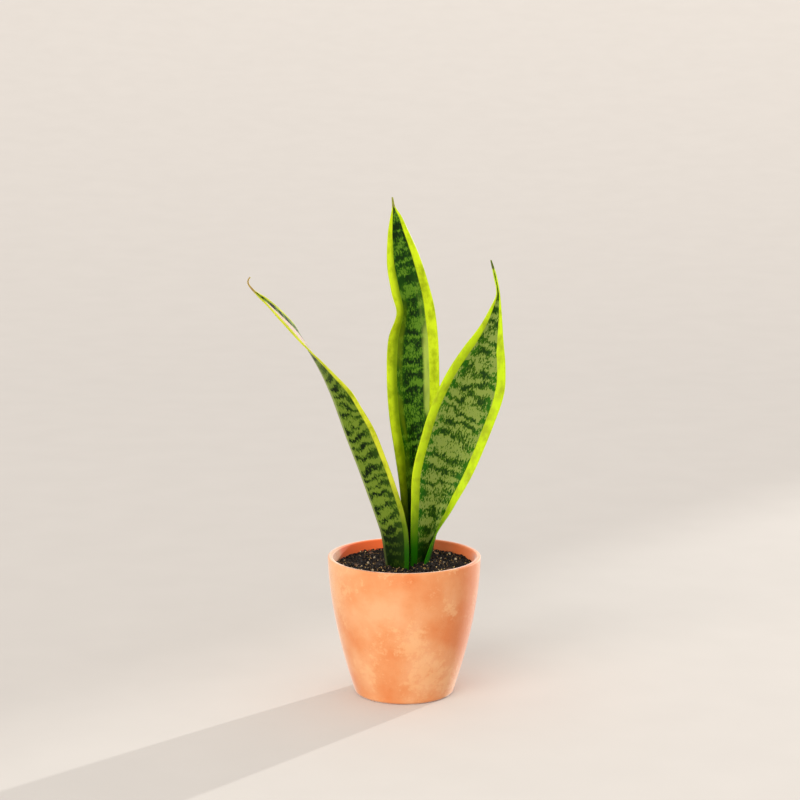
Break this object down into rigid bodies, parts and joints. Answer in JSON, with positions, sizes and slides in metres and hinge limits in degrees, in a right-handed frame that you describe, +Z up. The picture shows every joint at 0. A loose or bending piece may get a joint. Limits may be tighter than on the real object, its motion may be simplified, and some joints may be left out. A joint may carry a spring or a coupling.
{
  "type": "potted snake plant",
  "caption": "Snake plant with upright, yellow-margined, cross-banded leaves growing from one rosette in a bellied terracotta pot filled with potting soil.",
  "frame": {"origin": "middle of the pot's underside, on the surface it stands on", "axes": "+Z up along the pot's axis; -Y is the front, where the middle and right leaves show their channelled inner faces; +X to the right, so the left leaf leans towards -X"},
  "size_m": [0.1984, 0.12, 0.3896],
  "materials": {
    "terracotta": "unglazed fired clay, matte, mottled with paler bloom",
    "potting_soil": "moist peat and bark crumbs, matte",
    "leaf_skin": "waxy, satin; dark green with grey-green cross bands and lime-yellow margins",
    "rhizome_skin": "matte, ringed with scale scars",
    "root_skin": "matte",
    "pale_grit": "matte, crumbly",
    "bark": "matte, rough",
    "split_wood": "matte, fibrous"
  },
  "bodies": {
    "root": {"pot": "terracotta", "soil": "potting_soil", "rhizome": "rhizome_skin", "root_1": "root_skin", "root_2": "root_skin", "root_3": "root_skin", "root_4": "root_skin", "root_5": "root_skin", "root_6": "root_skin", "leaf_left": "leaf_skin", "leaf_middle": "leaf_skin", "leaf_right": "leaf_skin", "grit_01": "pale_grit", "grit_02": "pale_grit", "grit_03": "pale_grit", "grit_04": "pale_grit", "grit_05": "pale_grit", "grit_06": "pale_grit", "grit_07": "pale_grit", "grit_08": "pale_grit", "grit_09": "pale_grit", "grit_10": "pale_grit", "bark_chip_1": "bark", "bark_chip_2": "bark", "bark_chip_3": "bark", "bark_chip_4": "bark", "bark_chip_5": "bark", "bark_chip_6": "bark", "splinter_1": "split_wood", "splinter_2": "split_wood"}
  },
  "joints": []
}
